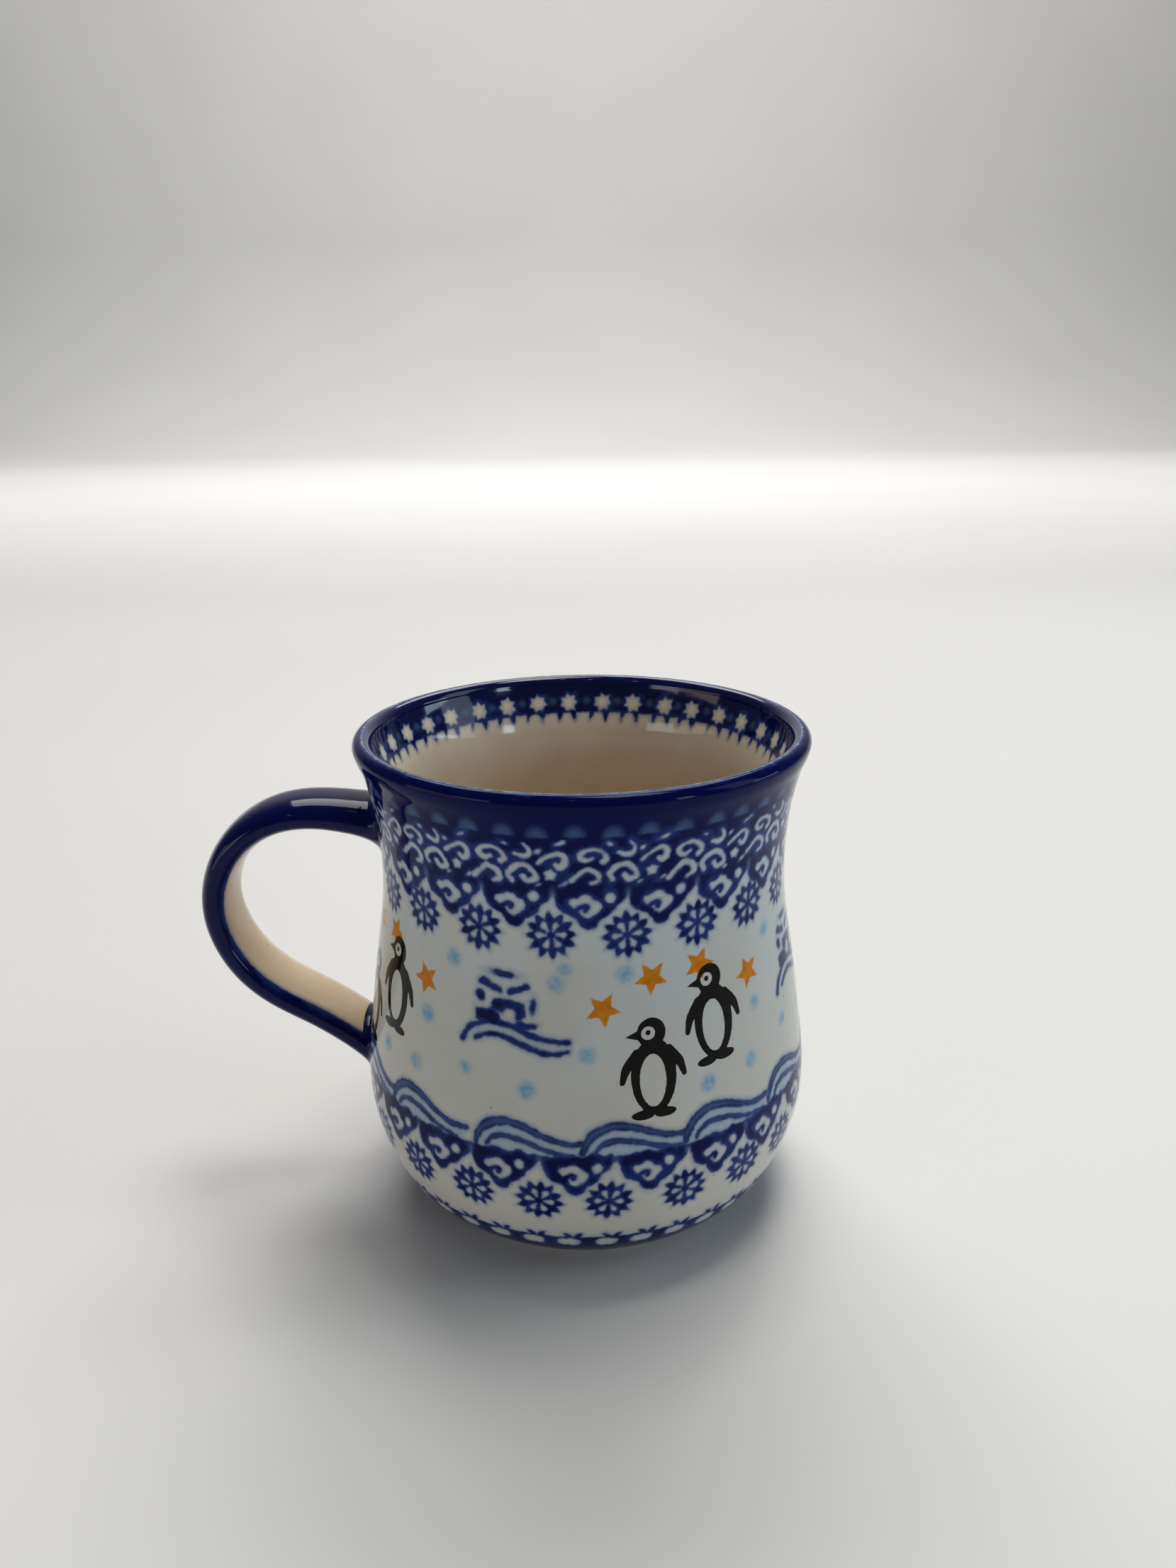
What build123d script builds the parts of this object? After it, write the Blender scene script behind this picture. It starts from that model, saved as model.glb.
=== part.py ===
from build123d import *
import math
import os

os.makedirs("parts", exist_ok=True)

# Belly mug in glazed stoneware, millimetres, +Z up.
# The origin is the centre of the foot ring's underside. The handle stands towards -X.

GLAZE = 0.3
LIP_RADIUS = 1.9
LIP_CENTRE = (43.1, 98.1)
FOOT_OUTER = 31.2
FOOT_INNER = 26.8
FOOT_CHAMFER = 0.5
RECESS_HEIGHT = 1.7
RECESS_RADIUS = 26.0
FLOOR_HEIGHT = 6.4
FLOOR_FLAT_RADIUS = 14.0

# Outer face of the glazed cup as (radius, height), foot to lip: belly, waist, flared rim.
OUTER_STATIONS = [
    (31.7, 1.5), (35.2, 3.2), (38.3, 5.7), (41.0, 8.8), (44.4, 16.1), (46.0, 23.7),
    (46.0, 31.2), (45.1, 38.8), (44.1, 46.3), (43.0, 53.9), (41.8, 61.4), (40.9, 69.0),
    (40.8, 76.6), (41.4, 84.1), (42.9, 91.7), (43.9, 94.9), (44.7, 96.8), (45.0, 98.1),
]

# Inner face of the glazed cup, lip to floor.
INNER_STATIONS = [
    (41.2, 98.1), (40.7, 96.4), (39.5, 93.0), (37.9, 87.5), (37.1, 81.0), (36.9, 74.0), (37.5, 66.0),
    (38.7, 58.0), (39.9, 50.0), (40.9, 42.0), (41.8, 34.0), (42.0, 27.0), (41.1, 20.0),
    (38.6, 14.5), (34.2, 10.2), (27.5, 7.4), (20.5, 6.5), (FLOOR_FLAT_RADIUS, FLOOR_HEIGHT),
]

# Handle centreline as (distance from the axis, height), top joint to bottom joint.
HANDLE_STATIONS = [
    (39.1, 80.8), (46.6, 82.2), (54.0, 83.0), (61.8, 81.9), (68.7, 77.8), (73.2, 71.3),
    (74.8, 63.2), (72.8, 54.9), (68.6, 48.4), (63.1, 43.7), (56.3, 39.6), (49.4, 34.8),
    (39.0, 25.9),
]
STRAP_WIDTH = 16.0
STRAP_THICKNESS = 6.5
STRAP_TOP = (17.6, 7.8)
STRAP_BOTTOM = (17.0, 7.8)
STRAP_FLARE = 0.14
STRAP_OUTER_SHARE = 0.54

# Luting collars: how far each reaches along the strap, and how much it swells at the wall.
UPPER_COLLAR_REACH = 0.056
LOWER_COLLAR_REACH = 0.102
COLLAR_WAIST = 0.62
COLLAR_WAIST_SWELL = 1.3
COLLAR_EDGE = 0.7
COLLAR_WALL_SWELL = 2.5


def inset(stations, depth):
    """Move every station into the clay, which lies left of the direction of travel."""
    moved = []
    last = len(stations) - 1
    for i, (r, z) in enumerate(stations):
        r0, z0 = stations[max(i - 1, 0)]
        r1, z1 = stations[min(i + 1, last)]
        length = math.hypot(r1 - r0, z1 - z0)
        moved.append((r - depth * (z1 - z0) / length, z + depth * (r1 - r0) / length))
    return moved


def lip_arc(radius, start_angle):
    return CenterArc((LIP_CENTRE[0], LIP_CENTRE[1]), radius, start_angle, 90)


def turned(*edges):
    """Revolve a closed half-profile about the mug's axis."""
    return revolve(Plane.XZ * make_face(Curve() + list(edges)), axis=Axis.Z)


clay_outer = inset(OUTER_STATIONS, GLAZE)
clay_outer[-1] = (OUTER_STATIONS[-1][0] - GLAZE, OUTER_STATIONS[-1][1])
clay_inner = inset(INNER_STATIONS, GLAZE)
clay_inner[0] = (INNER_STATIONS[0][0] + GLAZE, INNER_STATIONS[0][1])
clay_inner[-1] = (FLOOR_FLAT_RADIUS, FLOOR_HEIGHT - GLAZE)
crest_outer = (LIP_CENTRE[0], LIP_CENTRE[1] + LIP_RADIUS)
crest_clay = (LIP_CENTRE[0], LIP_CENTRE[1] + LIP_RADIUS - GLAZE)

foot_edges = [
    Line((0, FLOOR_HEIGHT - GLAZE), (0, RECESS_HEIGHT)),
    Line((0, RECESS_HEIGHT), (RECESS_RADIUS, RECESS_HEIGHT)),
    Line((RECESS_RADIUS, RECESS_HEIGHT), (FOOT_INNER, 0)),
    Line((FOOT_INNER, 0), (FOOT_OUTER - FOOT_CHAMFER, 0)),
    Line((FOOT_OUTER - FOOT_CHAMFER, 0), (FOOT_OUTER, FOOT_CHAMFER)),
    Line((FOOT_OUTER, FOOT_CHAMFER), clay_outer[0]),
]
stoneware_body = turned(
    *foot_edges,
    Spline(*clay_outer),
    lip_arc(LIP_RADIUS - GLAZE, 0),
    lip_arc(LIP_RADIUS - GLAZE, 90),
    Spline(*clay_inner),
    Line(clay_inner[-1], (0, FLOOR_HEIGHT - GLAZE)),
)
outer_skin = turned(
    Line(clay_outer[0], OUTER_STATIONS[0]),
    Spline(*OUTER_STATIONS),
    lip_arc(LIP_RADIUS, 0),
    Line(crest_outer, crest_clay),
    lip_arc(LIP_RADIUS - GLAZE, 0),
    Spline(*clay_outer),
)
liner_glaze = turned(
    Line(crest_clay, crest_outer),
    lip_arc(LIP_RADIUS, 90),
    Spline(*INNER_STATIONS),
    Line(INNER_STATIONS[-1], (0, FLOOR_HEIGHT)),
    Line((0, FLOOR_HEIGHT), (0, FLOOR_HEIGHT - GLAZE)),
    Line((0, FLOOR_HEIGHT - GLAZE), clay_inner[-1]),
    Spline(*clay_inner),
    lip_arc(LIP_RADIUS - GLAZE, 90),
)

# The cup as one filled plug, used to trim the handle parts to the wall.
plug = turned(
    Line((0, LIP_CENTRE[1]), (0, clay_outer[0][1])),
    Line((0, clay_outer[0][1]), clay_outer[0]),
    Spline(*clay_outer),
    Line(clay_outer[-1], (0, LIP_CENTRE[1])),
)

handle_path = Spline(*[(-d, 0, z) for d, z in HANDLE_STATIONS])


def strap_section(along, width, thickness):
    """Soft D section square to the centreline: the outer face is fuller than the inner."""
    plane = Plane(
        origin=handle_path @ along,
        x_dir=(0, 1, 0),
        z_dir=handle_path % along,
    )
    half = width / 2
    outward = STRAP_OUTER_SHARE * thickness
    inward = thickness - outward
    points = [
        (half, 0), (0.80 * half, -0.70 * outward), (0, -outward), (-0.80 * half, -0.70 * outward),
        (-half, 0), (-0.80 * half, 0.76 * inward), (0, inward), (0.80 * half, 0.76 * inward),
    ]
    return plane * make_face(Spline(*points, periodic=True))


def strap(extra):
    sections = [
        strap_section(0.0, STRAP_TOP[0] + 2 * extra, STRAP_TOP[1] + 2 * extra),
        strap_section(STRAP_FLARE, STRAP_WIDTH + 2 * extra, STRAP_THICKNESS + 2 * extra),
        strap_section(1 - STRAP_FLARE, STRAP_WIDTH + 2 * extra, STRAP_THICKNESS + 2 * extra),
        strap_section(1.0, STRAP_BOTTOM[0] + 2 * extra, STRAP_BOTTOM[1] + 2 * extra),
    ]
    return sweep(sections, path=handle_path, multisection=True)


def collar(end, reach, wall_size):
    """Fillet of slip round the strap, wide at the wall and thin at its far edge."""
    step = reach if end == 0 else -reach
    width, depth = wall_size
    at_wall = strap_section(end, width + 2 * COLLAR_WALL_SWELL, depth + 2 * COLLAR_WALL_SWELL)
    waist = strap_section(
        end + COLLAR_WAIST * step,
        width + 2 * COLLAR_WAIST_SWELL,
        depth + 2 * COLLAR_WAIST_SWELL,
    )
    edge = strap_section(end + step, width + 2 * COLLAR_EDGE, depth + 2 * COLLAR_EDGE)
    return loft([at_wall, waist, edge])


full_strap = strap(0)
stoneware_handle = full_strap - plug
upper_slip_joint = collar(0, UPPER_COLLAR_REACH, STRAP_TOP) - plug - full_strap
lower_slip_joint = collar(1, LOWER_COLLAR_REACH, STRAP_BOTTOM) - plug - full_strap
joints = upper_slip_joint + lower_slip_joint
outer_glaze = outer_skin - full_strap - joints
handle_glaze = strap(GLAZE) - full_strap - joints - plug - outer_skin

nodes = {
    "stoneware_body": stoneware_body,
    "stoneware_handle": stoneware_handle,
    "upper_slip_joint": upper_slip_joint,
    "lower_slip_joint": lower_slip_joint,
    "outer_glaze": outer_glaze,
    "liner_glaze": liner_glaze,
    "handle_glaze": handle_glaze,
}
for name, solid in nodes.items():
    solid.label = name
    export_step(solid, f"parts/{name}.step")
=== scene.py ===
import math

import bpy
import numpy as np
from mathutils import Matrix


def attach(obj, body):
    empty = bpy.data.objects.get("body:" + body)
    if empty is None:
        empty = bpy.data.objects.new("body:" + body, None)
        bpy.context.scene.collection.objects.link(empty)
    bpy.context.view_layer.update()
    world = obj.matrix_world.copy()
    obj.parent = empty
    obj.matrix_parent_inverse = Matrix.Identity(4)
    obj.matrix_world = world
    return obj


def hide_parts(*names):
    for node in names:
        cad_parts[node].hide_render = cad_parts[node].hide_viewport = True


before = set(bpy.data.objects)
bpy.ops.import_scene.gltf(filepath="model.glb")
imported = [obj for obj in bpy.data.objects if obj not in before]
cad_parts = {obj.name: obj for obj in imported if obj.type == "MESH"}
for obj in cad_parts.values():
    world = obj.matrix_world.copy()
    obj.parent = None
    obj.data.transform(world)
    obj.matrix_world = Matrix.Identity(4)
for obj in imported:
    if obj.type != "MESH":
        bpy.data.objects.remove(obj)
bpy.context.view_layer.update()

MM = 0.001
# Surfaces that reach the mug's axis stop this far short of it, in mm.
AXIS_GAP = 0.05
rng = np.random.default_rng(11)

# ---------------------------------------------------------------- the mug's shape, in mm
# Profiles are (radius, height) stations. The cup's and the handle's are the same as the CAD model's.
LIP_RADIUS = 1.9
LIP_CENTRE = (43.1, 98.1)
OUTER_STATIONS = [
    (31.7, 1.5), (35.2, 3.2), (38.3, 5.7), (41.0, 8.8), (44.4, 16.1), (46.0, 23.7),
    (46.0, 31.2), (45.1, 38.8), (44.1, 46.3), (43.0, 53.9), (41.8, 61.4), (40.9, 69.0),
    (40.8, 76.6), (41.4, 84.1), (42.9, 91.7), (43.9, 94.9), (44.7, 96.8), (45.0, 98.1),
]
INNER_STATIONS = [
    (41.2, 98.1), (40.7, 96.4), (39.5, 93.0), (37.9, 87.5), (37.1, 81.0), (36.9, 74.0),
    (37.5, 66.0), (38.7, 58.0), (39.9, 50.0), (40.9, 42.0), (41.8, 34.0), (42.0, 27.0),
    (41.1, 20.0), (38.6, 14.5), (34.2, 10.2), (27.5, 7.4), (20.5, 6.5), (14.0, 6.4),
]
FLOOR_HEIGHT = 6.4
FOOT_STATIONS = [
    (31.7, 1.5), (31.25, 1.2), (31.2, 0.6), (31.0, 0.2), (30.6, 0.0), (29.0, 0.0),
    (27.2, 0.0), (26.8, 0.2), (26.4, 0.9), (26.0, 1.7),
]
RECESS_STATIONS = [(26.0, 1.7), (25.0, 1.85), (18.0, 1.9), (9.0, 1.9), (AXIS_GAP, 1.9)]

# The handle's centreline is (distance from the axis, height), towards -X.
HANDLE_STATIONS = [
    (39.1, 80.8), (46.6, 82.2), (54.0, 83.0), (61.8, 81.9), (68.7, 77.8), (73.2, 71.3),
    (74.8, 63.2), (72.8, 54.9), (68.6, 48.4), (63.1, 43.7), (56.3, 39.6), (49.4, 34.8),
    (39.0, 25.9),
]
STRAP_WIDTH, STRAP_THICKNESS = 16.0, 6.5
STRAP_TOP, STRAP_BOTTOM = (17.6, 7.8), (17.0, 7.8)
STRAP_FLARE = 0.14
STRAP_OUTER_SHARE = 0.54
STRAP_SECTION_POWER = 0.86
CREAM_SHARE = 0.80
UPPER_CREAM_SHARE = 0.62
JOINT_TUCK = 0.05
# The strap's ends lie this deep under the wall's face.
STRAP_BURIED = 1.2

# The painting is carried by the points of a fine grid: columns round the mug, and rows this many mm apart.
OUTER_COLUMNS, OUTER_ROW, LIP_ROW = 1080, 0.31, 0.28
LINER_COLUMNS, LINER_ROW, PLAIN_ROW = 720, 0.36, 1.6
LINER_PAINTED_FROM = 88.5
FOOT_COLUMNS, FOOT_ROW, RECESS_ROW = 180, 0.3, 2.0
STRAP_COLUMNS, STRAP_ROW = 96, 0.6
# Painted depths are kept within this of a shape's edge, in mm.
FAR = 3.0


# ---------------------------------------------------------------- curves and meshes
UV_EDGE = 0.003


def even_points(points, spacing):
    """The same polyline with its points about this far apart, and exactly at both ends."""
    steps = np.linalg.norm(np.diff(points, axis=0), axis=1)
    along = np.concatenate([[0], np.cumsum(steps)])
    count = max(2, int(round(along[-1] / spacing)) + 1)
    wanted = np.linspace(0, along[-1], count)
    return np.stack([np.interp(wanted, along, points[:, k]) for k in range(2)], axis=1)


def spline(stations, spacing):
    """Evenly spaced points on the natural cubic spline through the stations."""
    p = np.array(stations, float)
    t = np.concatenate([[0], np.cumsum(np.linalg.norm(np.diff(p, axis=0), axis=1))])
    h = np.diff(t)
    last = len(p) - 1
    matrix = np.eye(len(p))
    right = np.zeros_like(p)
    for i in range(1, last):
        matrix[i, i - 1 : i + 2] = h[i - 1], 2 * (h[i - 1] + h[i]), h[i]
        right[i] = 6 * ((p[i + 1] - p[i]) / h[i] - (p[i] - p[i - 1]) / h[i - 1])
    bend = np.linalg.solve(matrix, right)
    u = np.linspace(0, t[-1], 60 * len(p))
    k = np.clip(np.searchsorted(t, u, side="right") - 1, 0, last - 1)
    a = (t[k + 1] - u)[:, None]
    b = (u - t[k])[:, None]
    w = h[k][:, None]
    curve = (bend[k] * a**3 + bend[k + 1] * b**3) / (6 * w)
    curve += (p[k] / w - bend[k] * w / 6) * a + (p[k + 1] / w - bend[k + 1] * w / 6) * b
    return even_points(curve, spacing)


def arc(centre, radius, start, end, spacing):
    turn = np.radians(np.linspace(start, end, 40))
    ring = np.stack([centre[0] + radius * np.cos(turn), centre[1] + radius * np.sin(turn)], axis=1)
    return even_points(ring, spacing)


def grid_normals(points, wrap):
    """Unit normals of a (rows, columns, 3) grid, smooth across the join where it wraps."""
    down = np.gradient(points, axis=0)
    if wrap:
        across = (np.roll(points, -1, axis=1) - np.roll(points, 1, axis=1)) / 2
    else:
        across = np.gradient(points, axis=1)
    normals = np.cross(across, down)
    return normals / np.maximum(np.linalg.norm(normals, axis=2, keepdims=True), 1e-12)


def grid_piece(name, points, normals, layers, material, wrap):
    """A quad mesh on a grid in mm, with its shading normals, a bake layout and painted layers."""
    rows, columns = points.shape[:2]
    spans = columns if wrap else columns - 1
    i, j = np.meshgrid(np.arange(rows - 1), np.arange(spans), indexing="ij")
    corner_rows = np.stack([i, i, i + 1, i + 1], axis=-1).reshape(-1, 4)
    corner_columns = np.stack([j, j + 1, j + 1, j], axis=-1).reshape(-1, 4)
    faces = corner_rows * columns + corner_columns % columns
    mesh = bpy.data.meshes.new(name)
    mesh.from_pydata((points.reshape(-1, 3) * MM).tolist(), [], faces.tolist())
    layout = mesh.uv_layers.new(name="OFBake")
    uv = UV_EDGE + (1 - 2 * UV_EDGE) * np.stack([corner_columns / spans, corner_rows / (rows - 1)], axis=-1)
    layout.data.foreach_set("uv", uv.astype(np.float32).ravel())
    for layer, values in layers.items():
        attribute = mesh.attributes.new(layer, "FLOAT", "POINT")
        attribute.data.foreach_set("value", values.astype(np.float32).ravel())
    mesh.shade_smooth()
    mesh.normals_split_custom_set_from_vertices(normals.reshape(-1, 3).tolist())
    mesh.materials.append(material)
    piece = bpy.data.objects.new(name, mesh)
    bpy.context.scene.collection.objects.link(piece)
    return piece


def turned_grid(profile, columns):
    """Points of a surface of revolution. Column 0 faces -X, and the next ones pass -Y."""
    angle = np.radians(-90 + np.arange(columns) * 360 / columns)
    r, z = profile[:, 0][:, None], profile[:, 1][:, None]
    return np.stack([r * np.sin(angle), -r * np.cos(angle), z + 0 * angle], axis=2)


# ---------------------------------------------------------------- painted shapes
# Each shape takes x (to the right) and y (up) in mm and gives the depth inside it, negative outside.
def disc(radius, x0=0.0, y0=0.0):
    return lambda x, y: radius - np.hypot(x - x0, y - y0)


def oval(rx, ry, x0=0.0, y0=0.0, turn=0.0):
    c, s = math.cos(math.radians(turn)), math.sin(math.radians(turn))

    def shape(x, y):
        u = (c * (x - x0) + s * (y - y0)) / rx
        v = (c * (y - y0) - s * (x - x0)) / ry
        return (1 - np.hypot(u, v)) * min(rx, ry)

    return shape


def union(*shapes):
    return lambda x, y: np.max([shape(x, y) for shape in shapes], axis=0)


def without(base, *cuts):
    return lambda x, y: np.minimum(base(x, y), -union(*cuts)(x, y))


def eased(points, closed, parts=5):
    """A Catmull-Rom curve through given points."""
    p = np.array(points, float)
    if closed:
        p = np.vstack([p[-1], p, p[:2]])
    else:
        p = np.vstack([2 * p[0] - p[1], p, 2 * p[-1] - p[-2]])
    t = np.linspace(0, 1, parts, endpoint=False)[:, None]
    spans = []
    for a, b, c, d in zip(p, p[1:], p[2:], p[3:]):
        spans.append(0.5 * (2 * b + (c - a) * t + (2 * a - 5 * b + 4 * c - d) * t**2
                            + (3 * b - a - 3 * c + d) * t**3))
    return np.vstack(spans if closed else spans + [p[-2]])


def filled(points, soft=True):
    """The inside of a closed outline, with eased or straight sides."""
    p = eased(points, closed=True) if soft else np.array(points, float)

    def shape(x, y):
        distance = np.full(x.shape, np.inf)
        inside = np.zeros(x.shape, bool)
        for (ax, ay), (bx, by) in zip(p, np.roll(p, -1, axis=0)):
            ex, ey = bx - ax, by - ay
            t = np.clip(((x - ax) * ex + (y - ay) * ey) / max(ex * ex + ey * ey, 1e-9), 0, 1)
            distance = np.minimum(distance, np.hypot(x - ax - t * ex, y - ay - t * ey))
            if ay != by:
                inside ^= ((ay > y) != (by > y)) & (x < ax + ex * (y - ay) / ey)
        return np.where(inside, distance, -distance)

    return shape


def stroke(points, *widths):
    """A brush stroke along listed points, its width easing between the given widths."""
    p = eased(points, closed=False)
    radius = np.interp(np.linspace(0, 1, len(p)), np.linspace(0, 1, len(widths)), widths) / 2

    def shape(x, y):
        depth = np.full(x.shape, -np.inf)
        for (ax, ay), (bx, by), ra, rb in zip(p, p[1:], radius, radius[1:]):
            ex, ey = bx - ax, by - ay
            t = np.clip(((x - ax) * ex + (y - ay) * ey) / max(ex * ex + ey * ey, 1e-9), 0, 1)
            depth = np.maximum(depth, ra + (rb - ra) * t - np.hypot(x - ax - t * ex, y - ay - t * ey))
        return depth

    return shape


def pointed_star(points, outer, inner, turn=90.0):
    turns = np.radians(turn + np.arange(2 * points) * 180 / points)
    reach = np.where(np.arange(2 * points) % 2, inner, outer)
    return filled(np.stack([reach * np.cos(turns), reach * np.sin(turns)], axis=1), soft=False)


def moved(shape, dx, dy):
    return lambda x, y: shape(x - dx, y - dy)


def rosette(x, y):
    """Twelve-toothed snowflake flower with six teardrop petals left white."""
    r, turn = np.hypot(x, y), np.arctan2(y, x)
    teeth = 3.3 + 1.05 * (0.5 + 0.5 * np.cos(12 * turn)) ** 0.95
    sixth = np.mod(turn + math.pi / 6, math.pi / 3) - math.pi / 6
    p, q = r * np.cos(sixth), r * np.sin(sixth)
    t = np.clip((p - 0.95) / 1.1, 0, 1)
    petal = 0.12 + 0.46 * t - np.hypot(p - 0.95 - 1.1 * t, q)
    return np.minimum((teeth - r) * 0.75, -petal)


def dome(x, y):
    """A low dome with a crisp flat foot and a fading top."""
    return np.minimum((1 - np.hypot(x / 1.6, y / 1.9)) * 1.2, 3 * y)


# One cell of the bell-and-hook border, from the bell's tip at the origin.
BELL_SIDES = [
    (-6.3, 7.2), (-5.9, 5.6), (-5.5, 4.3), (-4.8, 3.3), (-3.6, 2.7), (-2.7, 2.3), (-2.1, 1.4), (-1.3, 0.4),
    (0.0, -0.1), (1.2, 0.4), (1.8, 1.5), (2.7, 2.1), (3.7, 2.7), (4.4, 3.6), (5.0, 4.5), (6.2, 5.4),
    (7.1, 7.0),
]
UPPER_BELL = filled(BELL_SIDES + [(7.1, 9.6), (-6.3, 9.6)])
LOWER_BELL = filled(BELL_SIDES + [
    (6.7, 8.4), (5.4, 8.1), (4.5, 8.5), (3.3, 8.9), (2.2, 8.4), (0.9, 8.2), (-0.7, 8.7), (-2.5, 8.5),
    (-4.1, 8.1), (-5.4, 8.0),
])
HOOK_BLOB = filled([
    (-3.4, 5.0), (-3.1, 5.8), (-2.0, 6.0), (-0.9, 6.6), (0.2, 6.2), (0.9, 5.5), (1.8, 5.0),
    (2.1, 4.2), (1.5, 3.3), (0.6, 2.6), (-0.3, 2.2), (-1.2, 2.7), (-1.7, 3.5), (-2.6, 4.1),
])
HOOK_CURL = stroke([(-2.9, 3.5), (-2.1, 3.9), (-1.2, 4.35), (-0.5, 4.2), (-0.7, 3.6)], 1.0, 1.0, 1.2, 1.1)
HOOK_DOT = disc(0.95, 3.65, 6.0)
HOOK_WHITE = union(without(HOOK_BLOB, HOOK_CURL), HOOK_DOT)

# One repeat of the scrolled border: curls, hooks and spirals left pale on the cobalt.
SCROLLS = [
    (-0.4, 0.1, stroke([(-0.3, -0.5), (-1.5, -0.9), (-2.5, -0.1), (-1.9, 0.9), (-0.8, 1.3), (0.5, 1.3),
                        (1.8, 0.5), (2.3, -0.7), (1.6, -1.3)], 0.7, 1.1, 1.0, 0.7, 0.8, 1.0, 1.1)),
    (5.3, 1.0, stroke([(0.4, 1.7), (1.2, 0.6), (1.0, -0.4), (0.0, -0.8), (-1.4, -0.4)], 0.4, 0.8, 1.1, 0.8)),
    (10.4, -0.4, stroke([(-2.5, -0.8), (-1.0, 0.5), (0.9, 1.4), (2.0, 0.7), (2.0, -0.6), (1.2, -1.3),
                         (0.5, -0.8)], 0.7, 0.8, 1.0, 1.2, 0.8)),
    (-1.8, -3.8, stroke([(-2.5, -0.9), (-1.3, 0.2), (0.2, 1.4), (1.9, 0.7), (2.4, -0.7), (1.1, -1.4)],
                        0.9, 0.9, 1.0, 1.1, 0.7)),
    (4.8, -3.2, stroke([(-1.9, -1.5), (-2.5, -0.3), (-1.2, 1.2), (0.7, 1.6), (2.2, 0.3), (2.5, -1.0),
                        (1.0, -1.5), (0.2, -0.7)], 1.0, 1.1, 1.0, 1.0, 1.1, 1.1)),
    (9.9, -3.3, pointed_star(5, 1.1, 0.82)),
    (12.2, -4.9, oval(0.5, 0.24, turn=35)),
    (7.7, -5.3, oval(0.42, 0.26, turn=20)),
    (8.0, 1.3, oval(0.5, 0.35, turn=30)),
    (2.3, 2.4, oval(0.42, 0.28, turn=-20)),
    (11.8, 3.0, oval(0.8, 0.3, turn=25)),
]

# One wave, from the foot of its front. Its lines lie over the pale water between them.
WAVE_BACK = [(-0.5, -1.0), (0.1, 0.7), (1.3, 2.4), (3.2, 3.6), (5.7, 4.1), (8.8, 3.6), (11.8, 2.4),
             (14.8, 1.3), (17.6, 0.8), (20.0, 1.0)]
WAVE_FRONT = [(1.8, -1.0), (2.6, 0.2), (4.3, 1.1), (6.7, 1.2), (9.4, 0.7), (12.2, -0.3), (15.0, -1.1),
              (18.0, -1.5)]
WAVE_LINES = union(stroke(WAVE_BACK, 1.2, 1.9, 1.7, 1.3, 1.2), stroke(WAVE_FRONT, 0.8, 1.25, 1.1, 0.9))
WAVE_THIN = union(stroke(WAVE_BACK, 0.2, 0.9, 0.8, 0.3, 0.3), stroke(WAVE_FRONT, 0.1, 0.5, 0.2))
WAVE_WATER = filled([
    (-0.3, -1.0), (0.5, 1.0), (1.9, 2.6), (3.9, 3.6), (6.0, 4.0), (8.8, 3.5), (11.8, 2.3), (15.0, 1.1),
    (18.0, 0.5), (20.0, 0.6), (19.6, -1.2), (15.0, -1.6), (10.0, -1.8), (4.0, -1.8), (0.5, -1.8),
])
WAVE_MIDDLE = 9.8

# Scene motifs. Each is drawn about its middle.
IGLOO = union(
    oval(2.35, 0.7, -0.4, 5.2, -3),
    filled([(-5.3, 2.9), (-4.3, 4.1), (-2.4, 3.4), (-0.6, 2.7), (-0.8, 1.6), (-3.0, 2.1)]),
    filled([(0.5, 2.6), (2.4, 3.2), (4.1, 4.0), (4.6, 3.0), (2.8, 2.2), (0.9, 1.5)]),
    oval(1.0, 1.2, -4.8, 0.6, 12),
    oval(0.65, 1.4, 5.3, -0.1, -3),
    without(
        union(
            filled([(-2.2, 0.5), (0.6, 0.7), (3.7, 0.2), (4.2, -2.2), (2.6, -3.2), (-2.9, -1.4)], soft=False),
            filled([(-5.8, -1.9), (-2.3, -1.5), (-0.9, -2.2), (-0.6, -4.6), (-5.8, -4.3)], soft=False),
            filled([(2.2, -3.0), (6.5, -3.4), (6.0, -4.3), (2.6, -4.8)], soft=False),
            filled([(-0.8, -3.5), (2.9, -3.6), (3.0, -4.7), (-0.8, -4.6)], soft=False),
        ),
        union(disc(1.15, 0.9, -2.2), oval(1.1, 0.7, 0.9, -2.9)),
        stroke([(-3.4, 0.0), (-2.6, -1.0), (-3.6, -1.3)], 0.4, 0.4, 0.4),
    ),
)
HILL_TOP = [(-8.3, -8.3), (-7.3, -6.3), (-5.0, -4.7), (-2.0, -4.0), (1.2, -4.2), (4.2, -5.2), (7.8, -6.2),
            (11.9, -6.4)]
HILL_FOOT = [(-5.6, -7.6), (-3.4, -6.5), (-0.8, -6.2), (2.3, -7.0), (5.7, -8.2), (9.1, -8.8), (11.9, -8.2)]
HILLS = union(stroke(HILL_TOP, 1.3, 1.0, 1.25, 1.0), stroke(HILL_FOOT, 0.9, 1.1, 1.3, 0.9))
HILL_SNOW = filled(HILL_TOP + HILL_FOOT[::-1])
PENGUIN_BODY = union(
    oval(4.3, 7.2, 0.0, -1.6),
    oval(2.7, 2.8, -0.1, 6.6),
    filled([(-2.0, 7.5), (-5.0, 6.3), (-2.0, 5.4)], soft=False),
    stroke([(-3.0, 3.0), (-5.0, 0.4), (-5.9, -2.2)], 1.8, 1.7, 1.0),
    stroke([(3.0, 3.0), (5.0, 0.4), (5.9, -2.2)], 1.8, 1.7, 1.0),
    oval(2.2, 0.9, -2.4, -8.8),
    oval(2.2, 0.9, 1.8, -8.8),
)
PENGUIN_FRONT = union(oval(2.5, 5.0, -0.2, -2.4), oval(1.3, 1.25, -0.7, 6.6))
PENGUIN = union(without(PENGUIN_BODY, PENGUIN_FRONT), disc(0.5, -0.7, 6.7))
STAR = pointed_star(5, 3.4, 1.55, turn=-90)

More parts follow.
